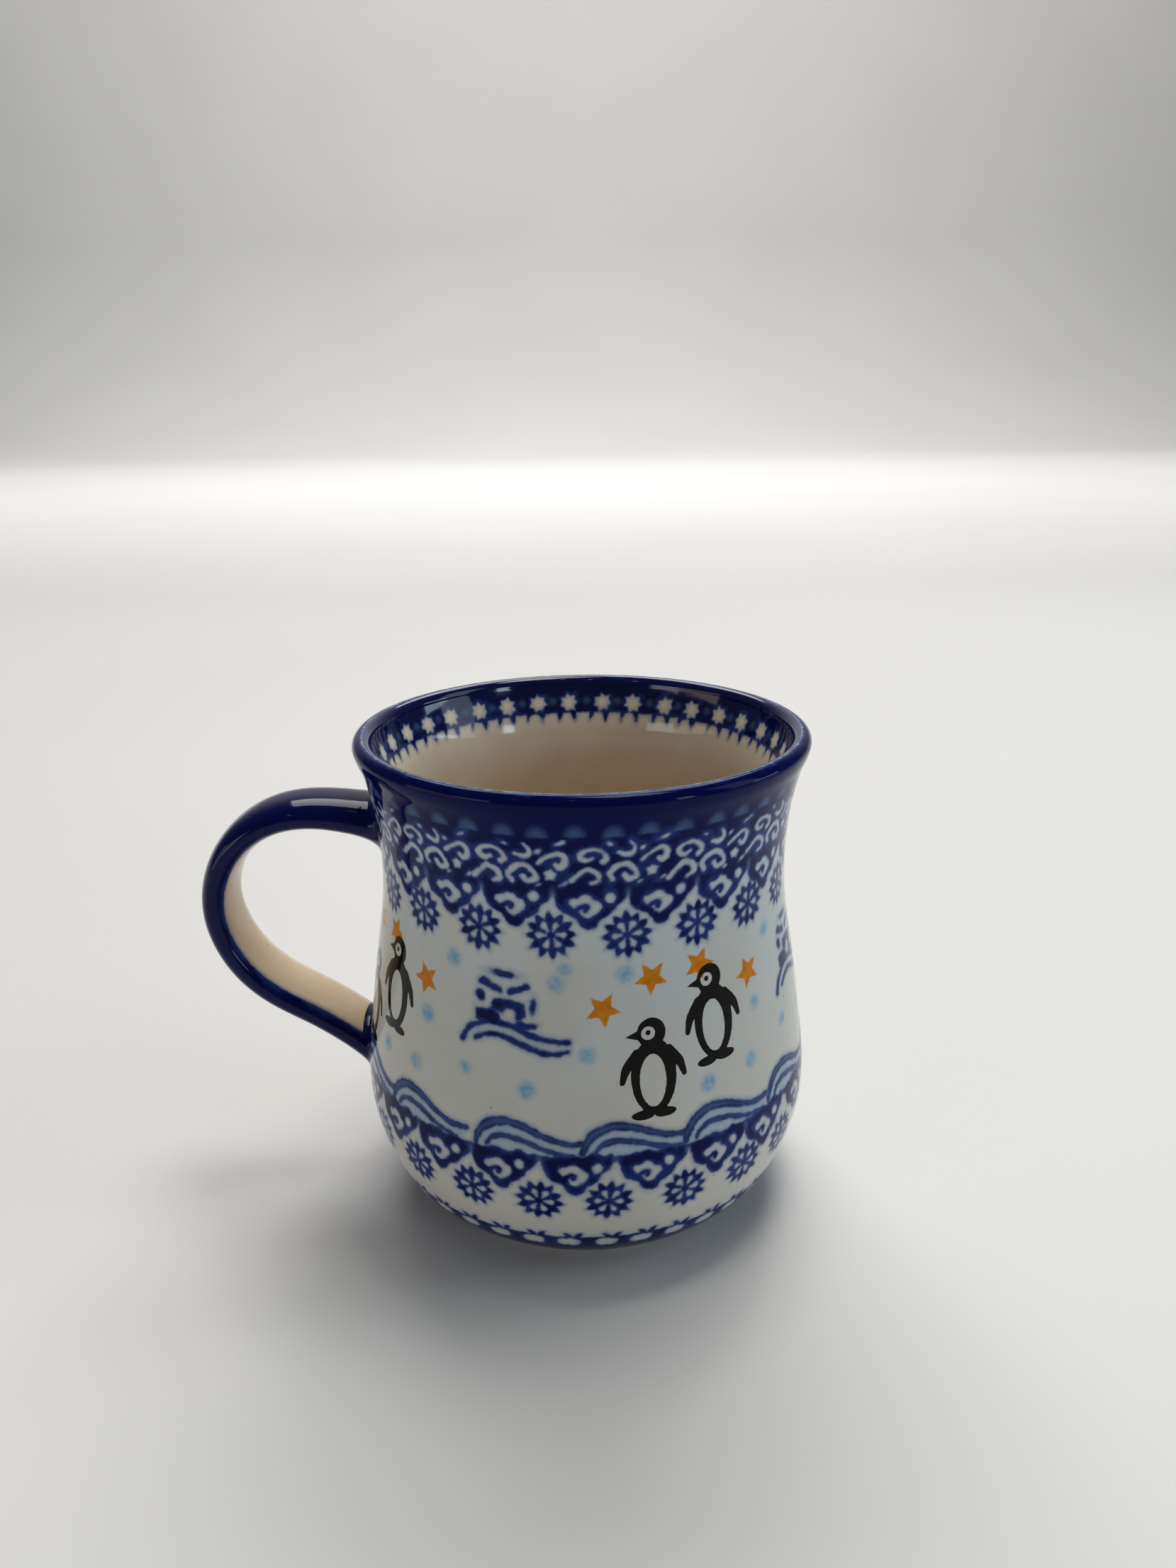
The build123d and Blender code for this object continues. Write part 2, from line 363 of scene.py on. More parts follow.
# The foot and inner borders.
FOOT_OVAL = filled([(-2.1, 0.1), (-1.6, 1.2), (-0.5, 1.4), (0.1, 1.7), (0.9, 1.4), (1.8, 1.1), (2.1, 0.1),
                    (1.7, -1.0), (0.8, -1.5), (0.0, -1.4), (-0.8, -1.6), (-1.7, -1.1)])
FOOT_TEETH = union(stroke([(0.3, -1.2), (0.0, -0.4), (-0.5, 0.1)], 1.5, 1.2, 0.8),
                   stroke([(1.6, -1.2), (1.9, -0.4), (2.4, 0.2)], 1.5, 1.2, 0.7))
RIM_TEETH = union(filled([(-2.0, -1.6), (-1.0, -4.4), (0.5, -1.6)], soft=False),
                  filled([(1.2, -1.6), (2.6, -4.3), (3.1, -1.6)], soft=False))
RIM_STAR = pointed_star(7, 2.1, 1.5, turn=90)


# ---------------------------------------------------------------- painting on a turned wall
class Wall:
    """The full ring of a turned surface with its painted layers, one number for each grid point."""

    def __init__(self, profile, columns, layers):
        self.r, self.z = profile[:, 0], profile[:, 1]
        self.columns, self.column_step = columns, 360 / columns
        steps = np.linalg.norm(np.diff(profile, axis=0), axis=1)
        self.s = np.concatenate([[0], np.cumsum(steps)])
        self.points = turned_grid(profile, columns)
        self.normals = grid_normals(self.points, wrap=True)
        self.layers = {name: np.full((len(profile), columns), start) for name, start in layers.items()}

    def place(self, height):
        """How far along the profile this height is."""
        rising = self.z[-1] > self.z[0]
        z, s = (self.z, self.s) if rising else (self.z[::-1], self.s[::-1])
        return float(np.interp(height, z, s))

    def window(self, angle, height, reach, turn=0.0, size=1.0):
        """The grid points near a spot, and their x and y in the spot's own turned and scaled mm."""
        middle = self.place(height)
        upward = 1.0 if self.z[-1] > self.z[0] else -1.0
        rows = np.flatnonzero(np.abs(self.s - middle) < reach)
        span = math.degrees(reach / self.r[rows].min())
        first = math.floor((angle - span + 90) / self.column_step)
        columns = np.arange(first, math.ceil((angle + span + 90) / self.column_step) + 1)
        x = self.r[rows][:, None] * np.radians(columns * self.column_step - 90 - angle)
        y = upward * (self.s[rows] - middle)[:, None] + 0 * x
        c, s = math.cos(math.radians(turn)), math.sin(math.radians(turn))
        spot = np.ix_(rows, columns % self.columns)
        return spot, (c * x + s * y) / size, (c * y - s * x) / size

    def add(self, layer, shape, angle, height, reach, turn=0.0, size=1.0):
        spot, x, y = self.window(angle, height, reach, turn, size)
        depth = np.clip(shape(x, y) * size, -FAR, FAR)
        self.layers[layer][spot] = np.maximum(self.layers[layer][spot], depth)

    def cut(self, layer, shape, angle, height, reach, turn=0.0, size=1.0):
        spot, x, y = self.window(angle, height, reach, turn, size)
        depth = np.clip(shape(x, y) * size, -FAR, FAR)
        self.layers[layer][spot] = np.minimum(self.layers[layer][spot], -depth)

    def tint(self, layer, shape, angle, height, reach, amount, soft):
        """Soft colour: full where the shape is deeper than soft, none as far outside it."""
        spot, x, y = self.window(angle, height, reach)
        share = np.clip(0.5 + 0.5 * shape(x, y) / soft, 0, 1)
        share = amount * share * share * (3 - 2 * share)
        self.layers[layer][spot] = np.maximum(self.layers[layer][spot], share)

    def band(self, layer, low, high):
        """Everything between two heights."""
        along = self.s[:, None] + 0 * self.layers[layer]
        bottom, top = sorted((self.place(low), self.place(high)))
        depth = np.clip(np.minimum(along - bottom, top - along), -FAR, FAR)
        self.layers[layer] = np.maximum(self.layers[layer], depth)


def stamped(count, first, sway=0.0):
    """Angles of a hand-stamped row, with a little sideways scatter."""
    return first + (np.arange(count) + rng.uniform(-sway, sway, count)) * 360 / count


def continued(seen, count, sway=0.0):
    """A row's measured angles, and the rest of the stamps spread evenly round the back."""
    spare = count - len(seen)
    step = (seen[0] + 360 - seen[-1]) / (spare + 1)
    rest = seen[-1] + step * (np.arange(1, spare + 1) + rng.uniform(-sway, sway, spare))
    return list(seen) + list(rest)


# Heights are in mm above the table, and angles in degrees round the mug from the camera's side.
UPPER_TIP, LOWER_TIP = 74.5, 24.0
BELL_TOP = 6.9
UPPER_GAP_SPOT, LOWER_GAP_SPOT = (9.4, 6.7), (9.0, 7.0)
UPPER_COUNT, LOWER_COUNT, WAVE_COUNT = 20, 21, 14
UPPER_FLOWER_HEIGHT, LOWER_FLOWER_HEIGHT = 73.1, 22.4
SCROLL_COUNT, SCROLL_HEIGHT, SCROLL_DEGREES_PER_MM = 15, 88.3, 1.36
DOME_COUNT, DOME_HEIGHT = 43, 92.3
WAVE_HEIGHT, WAVE_MIDDLE_ANGLE = 33.7, 12.4
FOOT_COUNT, FOOT_BAND_TOP, FOOT_TEETH_HEIGHT, FOOT_OVAL_HEIGHT = 39, 12.5, 13.3, 10.6
RIM_COUNT, RIM_HEIGHT, RIM_BAND = 34, 94.3, 2.3
PAST_EDGE = 5
UPPER_BELLS = [-52.9, -35.1, -17.0, 1.2, 19.4, 37.2]
UPPER_ROSETTES = [-45.9, -27.0, -8.2, 10.5, 29.4, 47.4, 65.3]
LOWER_BELLS = [-53.0, -36.7, -20.0, -2.6, 14.4, 31.5, 47.7, 65.9]
LOWER_ROSETTES = [-45.2, -27.9, -11.3, 4.8, 23.0, 40.6, 56.6]
WAVES = [-54.4, -26.1, -0.6, 23.5, 50.0]


def paint_top(wall):
    """The solid cobalt lip, pale domes, scrolls, and a row of bells over snowflake flowers."""
    wall.band("cobalt", UPPER_TIP + BELL_TOP, wall.z.max())
    bells = continued(UPPER_BELLS, UPPER_COUNT, 0.02)
    spot_angle, spot_height = UPPER_GAP_SPOT
    for angle in bells:
        wall.add("cobalt", UPPER_BELL, angle, UPPER_TIP, 11, rng.uniform(-2, 2))
        wall.tint("wash", oval(0.4, 0.9), angle + spot_angle, UPPER_TIP + spot_height, 3, 0.8, 0.6)
    for angle in stamped(SCROLL_COUNT, 2.9, 0.015):
        lift, turn = rng.uniform(-0.25, 0.25), rng.uniform(-3, 3)
        for dx, dy, shape in SCROLLS:
            wall.cut("cobalt", shape, angle + dx * SCROLL_DEGREES_PER_MM, SCROLL_HEIGHT + dy + lift, 4.0,
                     turn + rng.uniform(-5, 5), rng.uniform(0.94, 1.04))
    for angle in bells:
        wall.cut("cobalt", HOOK_WHITE, angle, UPPER_TIP, 10, rng.uniform(-3, 3))
    for angle in continued(UPPER_ROSETTES, UPPER_COUNT, 0.02):
        height = UPPER_FLOWER_HEIGHT + rng.uniform(-0.3, 0.3)
        wall.add("cobalt", rosette, angle, height, 6, rng.uniform(-8, 8), 1.03)
    for angle in stamped(DOME_COUNT, -1.7, 0.05):
        wall.tint("wash", dome, angle, DOME_HEIGHT + rng.uniform(-0.2, 0.2), 4, 0.62, 0.7)


def paint_foot(wall):
    """A solid band with a toothed top and a row of pale ovals."""
    wall.band("cobalt", wall.z.min() - PAST_EDGE, FOOT_BAND_TOP)
    for angle in stamped(FOOT_COUNT, 4.4, 0.03):
        wall.add("cobalt", FOOT_TEETH, angle, FOOT_TEETH_HEIGHT, 4, rng.uniform(-7, 7))
        wall.cut("cobalt", FOOT_OVAL, angle, FOOT_OVAL_HEIGHT, 3.5,
                 rng.uniform(-8, 8), rng.uniform(0.94, 1.04))


def paint_waves(wall):
    """Waves over a second row of bells and flowers."""
    wall.band("cobalt", LOWER_TIP + BELL_TOP, LOWER_TIP + 8.1)
    spot_angle, spot_height = LOWER_GAP_SPOT
    for angle in continued(LOWER_BELLS, LOWER_COUNT, 0.02):
        lift = rng.uniform(-0.2, 0.2)
        wall.add("cobalt", LOWER_BELL, angle, LOWER_TIP + lift, 11, rng.uniform(-2, 2))
        wall.cut("cobalt", HOOK_WHITE, angle, LOWER_TIP + lift, 10, rng.uniform(-3, 3), 0.97)
        wall.tint("wash", oval(0.4, 0.9), angle + spot_angle, LOWER_TIP + spot_height, 3, 0.8, 0.6)
    for angle in continued(LOWER_ROSETTES, LOWER_COUNT, 0.02):
        height = LOWER_FLOWER_HEIGHT + rng.uniform(-0.3, 0.3)
        wall.add("cobalt", rosette, angle, height, 6, rng.uniform(-8, 8), 1.04)
    water, lines, thin = [moved(shape, -WAVE_MIDDLE, 0) for shape in (WAVE_WATER, WAVE_LINES, WAVE_THIN)]
    for angle in continued(WAVES, WAVE_COUNT, 0.02):
        middle = angle + WAVE_MIDDLE_ANGLE
        wall.tint("sky", water, middle, WAVE_HEIGHT, 14, 0.5, 0.25)
        wall.add("cobalt", lines, middle, WAVE_HEIGHT, 14)
        wall.tint("wash", thin, middle, WAVE_HEIGHT, 14, 0.6, 0.35)


# The scene is four equal groups. Penguins and stars are (angle, height, turn), and dots (angle, height).
GROUPS = 4
GROUP_TURN = 360 / GROUPS
IGLOO_ANGLE, IGLOO_HEIGHT = -20.0, 60.0
PENGUINS = [(15.9, 48.0, 0.0), (32.8, 55.5, 1.0)]
STARS = [(4.2, 59.5, 4), (16.4, 64.5, -8), (29.6, 65.2, 12), (45.8, 60.2, -10)]
SOFT_DOTS = [
    (-34.9, 66.2), (-7.0, 64.3), (9.8, 65.8), (-42.8, 53.7), (-30.0, 46.3), (-14.1, 44.3), (0.3, 51.3),
    (-5.0, 67.0), (30.0, 42.4), (43.9, 43.3),
]


def paint_scene(wall):
    """Igloos, penguins, stars and soft snow between the borders, four times round."""
    for group in range(GROUPS):
        base = GROUP_TURN * group
        igloo_angle = base + IGLOO_ANGLE
        wall.tint("sky", HILL_SNOW, igloo_angle, IGLOO_HEIGHT, 14, 0.3, 0.3)
        wall.add("cobalt", IGLOO, igloo_angle, IGLOO_HEIGHT, 8)
        wall.add("cobalt", HILLS, igloo_angle, IGLOO_HEIGHT, 14)
        for angle, height, turn in PENGUINS:
            wall.add("black", PENGUIN, base + angle, height, 12, turn + rng.uniform(-1.5, 1.5))
        for angle, height, turn in STARS:
            wall.add("orange", STAR, base + angle, height, 5, turn + rng.uniform(-6, 6))
        for angle, height in SOFT_DOTS:
            size = rng.uniform(1.2, 1.6)
            wall.tint("sky", disc(size), base + angle, height, 4, rng.uniform(0.8, 1.0), 1.0)


def paint_inside(wall):
    """A solid band below the lip with pale stars and hanging teeth."""
    wall.band("cobalt", RIM_HEIGHT - RIM_BAND, wall.z.max() + PAST_EDGE)
    for angle in stamped(RIM_COUNT, 3.7, 0.05):
        wall.add("cobalt", RIM_TEETH, angle, RIM_HEIGHT, 6, rng.uniform(-4, 4))
        wall.cut("cobalt", RIM_STAR, angle, RIM_HEIGHT, 3, rng.uniform(-20, 20))
        wall.tint("wash", disc(0.8), angle + 5.3, RIM_HEIGHT + 0.3, 3, 0.5, 0.6)


# ---------------------------------------------------------------- materials
class Graph:
    """Short calls for building one material's nodes."""

    def __init__(self, name):
        self.material = bpy.data.materials.new(name)
        self.material.use_nodes = True
        self.tree = self.material.node_tree
        self.shader = self.tree.nodes["Principled BSDF"]
        self.place = self.add("ShaderNodeTexCoord").outputs["Object"]

    def add(self, kind, inputs=(), **settings):
        node = self.tree.nodes.new(kind)
        for key, value in settings.items():
            setattr(node, key, value)
        for key, value in dict(inputs).items():
            self.set(node.inputs[key], value)
        return node

    def set(self, socket, value):
        if isinstance(value, bpy.types.NodeSocket):
            self.tree.links.new(value, socket)
        else:
            socket.default_value = value

    def layer(self, name):
        return self.add("ShaderNodeAttribute", attribute_name=name).outputs["Fac"]

    def math(self, operation, a, b=0.0):
        return self.add("ShaderNodeMath", {0: a, 1: b}, operation=operation).outputs[0]

    def step(self, value, low, high, bottom=0.0, top=1.0):
        """Smooth step of value from low to high."""
        inputs = {"Value": value, "From Min": low, "From Max": high, "To Min": bottom, "To Max": top}
        return self.add("ShaderNodeMapRange", inputs, interpolation_type="SMOOTHSTEP").outputs["Result"]

    def noise(self, size_mm, detail=2.0, roughness=0.5):
        """Noise with features of about this size, from 0 to 1."""
        inputs = {"Vector": self.place, "Scale": 1 / (size_mm * MM), "Detail": detail, "Roughness": roughness}
        return self.add("ShaderNodeTexNoise", inputs).outputs["Fac"]

    def mix(self, factor, a, b):
        node = self.add("ShaderNodeMix", data_type="RGBA")
        self.set(node.inputs[0], factor)
        self.set(node.inputs[6], a)
        self.set(node.inputs[7], b)
        return node.outputs[2]

    def bump(self, height, depth_mm, strength=1.0):
        inputs = {"Height": height, "Distance": depth_mm * MM, "Strength": strength}
        self.set(self.shader.inputs["Normal"], self.add("ShaderNodeBump", inputs).outputs["Normal"])

    def finish(self, colour, roughness, specular=0.5):
        self.set(self.shader.inputs["Base Color"], colour)
        self.set(self.shader.inputs["Roughness"], roughness)
        self.shader.inputs["Specular IOR Level"].default_value = specular
        return self.material


def rgb(red, green, blue):
    return (red, green, blue, 1.0)


NAVY = rgb(0.0020, 0.0038, 0.060)
THIN_COBALT = rgb(0.014, 0.036, 0.180)
WATERY_COBALT = rgb(0.080, 0.150, 0.300)
BLEED = rgb(0.20, 0.28, 0.42)
SKY = rgb(0.170, 0.370, 0.530)
GROUND = rgb(0.545, 0.585, 0.585)
# The lower wall's ground: the glaze ground with painted warm bounce light from the table under the mug.
GROUND_WITH_PAINTED_BOUNCE = rgb(0.600, 0.575, 0.510)
WARM_GROUND = rgb(0.555, 0.550, 0.500)
CREAM = rgb(0.700, 0.545, 0.350)
# Paler cream for the inside near the rim: painted light on the upper inside wall.
PAINTED_LIT_CREAM = rgb(0.790, 0.710, 0.570)
PEACH_CREAM = rgb(0.790, 0.620, 0.420)
TOASTED = rgb(0.350, 0.220, 0.110)
BARE_CLAY = rgb(0.500, 0.420, 0.320)
GLAZE_ROUGHNESS = 0.055
WALL_GLOSS, STRAP_GLOSS, LINER_GLOSS = 0.08, 0.16, 0.4


def speckled(g, light, dark):
    """Fired ground: soft mottling and a few tiny iron specks."""
    ground = g.mix(g.step(g.noise(14, 3), 0.35, 0.68), light, dark)
    cells = g.add("ShaderNodeTexVoronoi", {"Vector": g.place, "Scale": 1 / (5.5 * MM)})
    speck = g.step(cells.outputs["Distance"], 0.045, 0.025)
    rare = g.step(g.noise(9, 0), 0.60, 0.62)
    return g.mix(g.math("MULTIPLY", speck, rare), ground, rgb(0.06, 0.045, 0.04))


def mottled_cream(g, cream):
    """Cream glaze that goes a little browner in soft patches."""
    return speckled(g, cream, g.mix(0.12, cream, TOASTED))


def cobalt_over(g, ground, sway=0.75):
    """Stamped cobalt that bled into the glaze: soft blue edge, thin ink beside it, dense middle."""
    fine = g.math("MULTIPLY", g.math("SUBTRACT", g.noise(0.9, 2), 0.5), 0.30)
    uneven = g.math("MULTIPLY", g.math("SUBTRACT", g.noise(1.7, 2), 0.5), sway)
    broad = g.noise(5, 3, 0.6)
    depth = g.math("ADD", g.layer("cobalt"), g.math("ADD", fine, uneven))
    tinted = g.mix(g.step(depth, -1.1, 0.0, 0.0, 0.50), ground, BLEED)
    reach = g.step(broad, 0.36, 0.72, 0.50, 2.00)
    dense = g.step(g.math("DIVIDE", depth, reach), 0.05, 1.0)
    ink = g.mix(dense, THIN_COBALT, NAVY)
    thin = g.math("MULTIPLY", g.layer("wash"), g.step(broad, 0.2, 0.7, 0.7, 1.0))
    ink = g.mix(thin, ink, WATERY_COBALT)
    return g.mix(g.step(depth, -0.32, 0.28), tinted, ink)


def glaze_surface(g, colour, specular):
    """Gloss with the faint ripple and slight unevenness of a fired glaze."""
    ripple = g.math("ADD", g.noise(5.5, 1), g.math("MULTIPLY", g.noise(1.6, 1), 0.12))
    g.bump(ripple, 0.035)
    roughness = g.step(g.noise(11, 2), 0.3, 0.7, GLAZE_ROUGHNESS, GLAZE_ROUGHNESS + 0.035)
    return g.finish(colour, roughness, specular)


def decorated_material():
    g = Graph("decorated_glaze")
    height = g.add("ShaderNodeSeparateXYZ", {"Vector": g.place}).outputs["Z"]
    # Warm at the bottom and blue-grey higher up: painted warm bounce light on the lower wall.
    ground = speckled(g, g.mix(g.step(height, 20 * MM, 75 * MM), GROUND_WITH_PAINTED_BOUNCE, GROUND), WARM_GROUND)
    sponge = g.step(g.noise(1.1, 4), 0.3, 0.7, 0.55, 1.15)
    colour = g.mix(g.math("MINIMUM", g.math("MULTIPLY", g.layer("sky"), sponge), 1.0), ground, SKY)
    colour = cobalt_over(g, colour)
    grain = g.math("SUBTRACT", g.noise(0.7, 3), 0.5)
    orange = g.mix(g.step(g.noise(1.3, 4), 0.35, 0.7), rgb(0.58, 0.165, 0.003), rgb(0.66, 0.25, 0.010))
    star = g.step(g.math("ADD", g.layer("orange"), g.math("MULTIPLY", grain, 0.35)), -0.14, 0.16)
    colour = g.mix(star, colour, orange)
    black = g.layer("black")
    body = g.mix(g.step(black, 0.08, 0.35), rgb(0.0015, 0.0015, 0.0015), rgb(0.0075, 0.0065, 0.0060))
    edge = g.math("ADD", black, g.math("MULTIPLY", grain, 0.16))
    colour = g.mix(g.step(edge, -0.05, 0.05), colour, body)
    return glaze_surface(g, colour, WALL_GLOSS)


def liner_material():
    g = Graph("liner_glaze")
    height = g.add("ShaderNodeSeparateXYZ", {"Vector": g.place}).outputs["Z"]
    # Paler towards the rim: painted light on the upper inside wall, with the deeper wall left darker.
    cream = g.mix(g.step(height, 60 * MM, 90 * MM), CREAM, PAINTED_LIT_CREAM)
    return glaze_surface(g, cobalt_over(g, mottled_cream(g, cream)), LINER_GLOSS)


def strap_material():
    g = Graph("cobalt_glaze")
    return glaze_surface(g, cobalt_over(g, mottled_cream(g, PEACH_CREAM), sway=0.25), STRAP_GLOSS)


def clay_material():
    g = Graph("fired_clay")
    grain = g.noise(0.35, 4, 0.7)
    colour = g.mix(g.step(g.noise(3, 3), 0.3, 0.7), BARE_CLAY, rgb(0.42, 0.34, 0.25))
    colour = g.mix(g.step(grain, 0.6, 0.72), colour, rgb(0.30, 0.23, 0.17))
    g.bump(grain, 0.08, 0.6)
    return g.finish(colour, g.step(grain, 0.2, 0.8, 0.68, 0.9))


def base_material():
    g = Graph("base_glaze")
    return glaze_surface(g, mottled_cream(g, CREAM), LINER_GLOSS)


# ---------------------------------------------------------------- pieces
def wall_part(name, wall, first, share, material):
    """A share of the ring from one column, with both its edge columns, so that neighbours meet exactly."""
    columns = (first + np.arange(wall.columns // share + 1)) % wall.columns
    layers = {key: values[:, columns] for key, values in wall.layers.items()}
    piece = grid_piece(name, wall.points[:, columns], wall.normals[:, columns], layers, material, wrap=False)
    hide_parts("outer_glaze")
    return piece


def outer_profile():
    side = spline(OUTER_STATIONS, OUTER_ROW)
    lip = arc(LIP_CENTRE, LIP_RADIUS, 0, 90, LIP_ROW)
    return np.vstack([side, lip[1:]])


def inner_profile():
    """Lip crest to the middle of the floor, with close rows only where there is painting."""
    lip = arc(LIP_CENTRE, LIP_RADIUS, 90, 180, LIP_ROW)
    side = spline(INNER_STATIONS, LINER_ROW)
    painted = side[side[:, 1] > LINER_PAINTED_FROM]
    plain = even_points(side[len(painted) - 1 :], PLAIN_ROW)
    middle = np.array([(10.0, FLOOR_HEIGHT), (5.0, FLOOR_HEIGHT), (AXIS_GAP, FLOOR_HEIGHT)])
    return np.vstack([lip, painted[1:], plain[1:], middle])


def make_walls():
    outside = Wall(outer_profile(), OUTER_COLUMNS,
                   {"cobalt": -FAR, "black": -FAR, "orange": -FAR, "sky": 0.0, "wash": 0.0})
    paint_top(outside)
    paint_foot(outside)
    paint_waves(outside)
    paint_scene(outside)
    glaze = decorated_material()
    sides = ["front", "right", "back", "left"]
    quarter = OUTER_COLUMNS // len(sides)
    pieces = []
    for k, side in enumerate(sides):
        first = quarter // 2 + k * quarter
        pieces.append(wall_part("outer_glaze_" + side, outside, first, len(sides), glaze))
    inside = Wall(inner_profile(), LINER_COLUMNS, {"cobalt": -FAR, "wash": 0.0})
    paint_inside(inside)
    liner = grid_piece("liner_glaze_inside", inside.points, inside.normals, inside.layers, liner_material(),
                       wrap=True)
    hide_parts("liner_glaze")
    return outside, pieces + [liner]


def make_foot():
    clay, base = clay_material(), base_material()
    pieces = []
    for name, stations, spacing, material, slot in (
        ("bare_foot_ring", FOOT_STATIONS, FOOT_ROW, clay, "fired_clay"),
        ("glazed_recess", RECESS_STATIONS, RECESS_ROW, base, "liner_glaze"),
    ):
        points = turned_grid(even_points(np.array(stations[::-1], float), spacing), FOOT_COLUMNS)
        piece = grid_piece(name, points, grid_normals(points, wrap=True), {}, material, wrap=True)
        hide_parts("stoneware_body")
        pieces.append(piece)
    return pieces


class Strap:
    """The handle's swept surface, from its centreline and D-shaped section."""

    def __init__(self, wall):
        self.path = spline(HANDLE_STATIONS, STRAP_ROW)
        self.count = len(self.path)
        self.turns = 2 * math.pi * np.arange(STRAP_COLUMNS) / STRAP_COLUMNS
        along = np.linspace(0, 1, self.count)
        top = np.clip(1 - along / STRAP_FLARE, 0, 1) ** 1.5
        bottom = np.clip((along - 1 + STRAP_FLARE) / STRAP_FLARE, 0, 1) ** 1.5
        sway = 0.10 * np.sin(9.0 * along + 1.0) + 0.06 * np.sin(23.0 * along)
        self.width = STRAP_WIDTH + top * (STRAP_TOP[0] - STRAP_WIDTH)
        self.width += bottom * (STRAP_BOTTOM[0] - STRAP_WIDTH)
        self.depth = STRAP_THICKNESS + sway
        self.depth += top * (STRAP_TOP[1] - STRAP_THICKNESS) + bottom * (STRAP_BOTTOM[1] - STRAP_THICKNESS)
        run = np.gradient(self.path, axis=0)
        run /= np.linalg.norm(run, axis=1, keepdims=True)
        self.outward = np.stack([-run[:, 1], run[:, 0]], axis=1)
        self.wall_z, self.wall_r = wall.z, wall.r
        self.points = self.surface()

    def surface(self):
        c, s = np.cos(self.turns), np.sin(self.turns)
        across = np.sign(c) * np.abs(c) ** STRAP_SECTION_POWER
        lift = np.sign(s) * np.abs(s) ** STRAP_SECTION_POWER
        share = np.where(lift > 0, STRAP_OUTER_SHARE, 1 - STRAP_OUTER_SHARE)
        rise = self.depth[:, None] * lift * share
        d = self.path[:, 0][:, None] + self.outward[:, 0][:, None] * rise
        z = self.path[:, 1][:, None] + self.outward[:, 1][:, None] * rise
        return np.stack([-d, self.width[:, None] / 2 * across, z], axis=2)

    def clearance(self, points):
        """How far each point stands out from the mug's wall."""
        return np.hypot(points[..., 0], points[..., 1]) - np.interp(points[..., 2], self.wall_z, self.wall_r)

    def at(self, rows, columns):
        """Surface points at fractional rows."""
        low = np.clip(np.floor(rows).astype(int), 0, self.count - 2)
        t = (rows - low)[:, None]
        return self.points[low, columns] * (1 - t) + self.points[low + 1, columns] * t

    def cobalt(self):
        """Depth of the cobalt: all but the flat of the inner face, seen by distance round the section."""
        inner = np.sin(self.turns) < 0
        edge = CREAM_SHARE * self.width[:, None] / 2
        y = np.abs(self.points[:, :, 1])
        depth = np.where(inner, y - edge, FAR)
        return np.clip(depth, -FAR, FAR)


def make_handle(strap, material):
    points = strap.points.copy()
    sunk = strap.clearance(points) < -STRAP_BURIED
    shown = np.flatnonzero(~sunk.all(axis=1))
    radius = np.hypot(points[..., 0], points[..., 1])
    target = np.interp(points[..., 2], strap.wall_z, strap.wall_r) - STRAP_BURIED
    scale = np.where(sunk, target / radius, 1.0)
    points[..., 0] *= scale
    points[..., 1] *= scale
    rows = np.arange(shown[-1], shown[0] - 1, -1)
    normals = -grid_normals(strap.points, wrap=True)[rows]
    layers = {"cobalt": strap.cobalt()[rows], "wash": np.zeros((len(rows), len(strap.turns)))}
    piece = grid_piece("strap_handle", points[rows], normals, layers, material, wrap=True)
    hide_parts("stoneware_handle", "handle_glaze")
    return piece


JOINT_STEPS = 15


def make_joint(name, strap, upper, reaches, spreads, material, node):
    """A concave fillet of slip, from the strap's skin to the mug's wall.

    Reaches run along the strap and spreads over the wall, each for the outer and the inner face.
    """
    columns = np.arange(len(strap.turns))
    clear = strap.clearance(strap.points)
    half = strap.count // 2
    away = 1 if upper else -1
    rows = np.arange(half) if upper else np.arange(strap.count - 1, half, -1)
    buried = np.array([rows[np.flatnonzero(clear[rows, c] < 0)[-1]] for c in columns])
    first_gap, next_gap = clear[buried, columns], clear[buried + away, columns]
    crossing = buried + away * first_gap / (first_gap - next_gap)
    inner = 0.5 - 0.5 * np.sin(strap.turns)
    inner = inner * inner * (3 - 2 * inner)
    reach = reaches[0] + (reaches[1] - reaches[0]) * inner
    spread = spreads[0] + (spreads[1] - spreads[0]) * inner
    spacing = np.linalg.norm(np.diff(strap.path, axis=0), axis=1).mean()
    corner = strap.at(crossing, columns)
    on_strap = strap.at(crossing + away * reach / spacing, columns)
    wall_normal = np.stack([corner[:, 0], corner[:, 1], 0 * corner[:, 0]], axis=1)
    wall_normal /= np.linalg.norm(wall_normal, axis=1, keepdims=True)
    wall_normal[:, 2] = -np.interp(corner[:, 2], strap.wall_z, np.gradient(strap.wall_r, strap.wall_z))
    wall_normal /= np.linalg.norm(wall_normal, axis=1, keepdims=True)
    out = corner - corner.mean(axis=0)
    out -= wall_normal * np.sum(out * wall_normal, axis=1, keepdims=True)
    out /= np.linalg.norm(out, axis=1, keepdims=True)
    on_wall = corner + out * spread[:, None]
    wanted = np.interp(on_wall[:, 2], strap.wall_z, strap.wall_r)
    on_wall[:, :2] *= (wanted / np.hypot(on_wall[:, 0], on_wall[:, 1]))[:, None]
    t = np.linspace(0, 1, JOINT_STEPS)[:, None, None]
    points = (1 - t) ** 2 * on_strap + 2 * t * (1 - t) * corner + t**2 * on_wall
    normals = grid_normals(points, wrap=True)
    if not upper:
        points, normals = points[::-1], -normals[::-1]
    ends = np.zeros((JOINT_STEPS, 1, 1))
    ends[0], ends[-1] = -JOINT_TUCK, -JOINT_TUCK
    points = points + normals * ends
    edge = np.abs(corner[:, 1]) - UPPER_CREAM_SHARE * STRAP_WIDTH / 2
    cobalt = np.where(upper & (np.sin(strap.turns) < 0), edge, FAR)
    layers = {"cobalt": np.clip(cobalt, -FAR, FAR) + np.zeros((JOINT_STEPS, 1)),
              "wash": np.zeros((JOINT_STEPS, len(columns)))}
    piece = grid_piece(name, points, normals, layers, material, wrap=True)
    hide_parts(node)
    return piece


